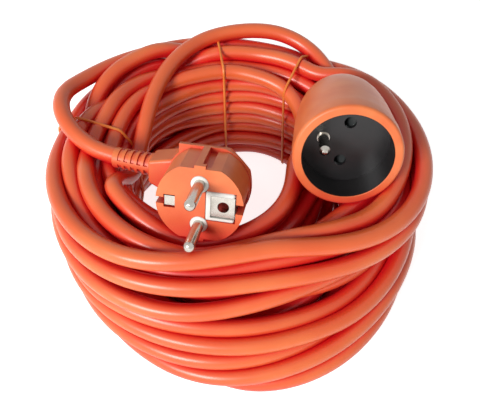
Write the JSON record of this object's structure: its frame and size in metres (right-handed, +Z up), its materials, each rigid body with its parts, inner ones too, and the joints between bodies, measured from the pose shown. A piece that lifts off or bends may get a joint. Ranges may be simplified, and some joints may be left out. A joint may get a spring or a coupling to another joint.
{
  "type": "extension cord",
  "caption": "Coiled flexible mains extension cord with an angled earthed two-pin plug and a moulded shuttered socket lying on the tied coil.",
  "frame": {"origin": "middle of the cord's footprint, on the surface the coil lies on", "axes": "+Z up, out of the coil's flat side; the plug and the socket face towards -Y; the socket lies on the +X side"},
  "size_m": [0.1954, 0.188, 0.1036],
  "materials": {
    "orange_moulding": "moulded soft PVC, satin",
    "orange_sheath": "extruded PVC sheath, satin",
    "tie_wire": "plastic-covered wire",
    "white_carrier": "moulded polyamide",
    "black_insert": "moulded polyamide, satin",
    "shutter_plastic": "moulded acetal",
    "nickel_brass": "nickel-plated brass, polished",
    "bare_brass": "stamped brass",
    "spring_steel": "drawn spring wire",
    "core_brown": "PVC core insulation",
    "core_blue": "PVC core insulation",
    "core_green_yellow": "PVC core insulation, green and yellow"
  },
  "bodies": {
    "root": {"plug_body": "orange_moulding", "plug_inner_bridge": "white_carrier", "plug_pin_live": "nickel_brass", "plug_pin_neutral": "nickel_brass", "plug_earth_strap": "nickel_brass", "plug_earth_socket": "nickel_brass", "plug_core_live": "core_brown", "plug_core_neutral": "core_blue", "plug_core_earth": "core_green_yellow", "socket_shell": "orange_moulding", "socket_insert": "black_insert", "socket_shutter_spring": "spring_steel", "socket_contact_carrier": "white_carrier", "socket_contact_live": "bare_brass", "socket_contact_neutral": "bare_brass", "socket_earth_pin": "nickel_brass", "socket_core_live": "core_brown", "socket_core_neutral": "core_blue", "socket_core_earth": "core_green_yellow", "cord_coil": "orange_sheath", "cord_plug_tail": "orange_sheath", "cord_socket_tail": "orange_sheath", "coil_tie_left": "tie_wire", "coil_tie_back": "tie_wire", "coil_tie_right": "tie_wire"},
    "shutter": {"socket_shutter": "shutter_plastic"}
  },
  "joints": [
    {"name": "shutter_slide", "type": "slide", "parent": "root", "child": "shutter", "axis": [0.9849, -0.1108, -0.1327], "range_m": [0, 0.006], "stiffness_N_per_m": 150, "springref_m": -0.003, "deforming": ["socket_shutter_spring"]}
  ]
}
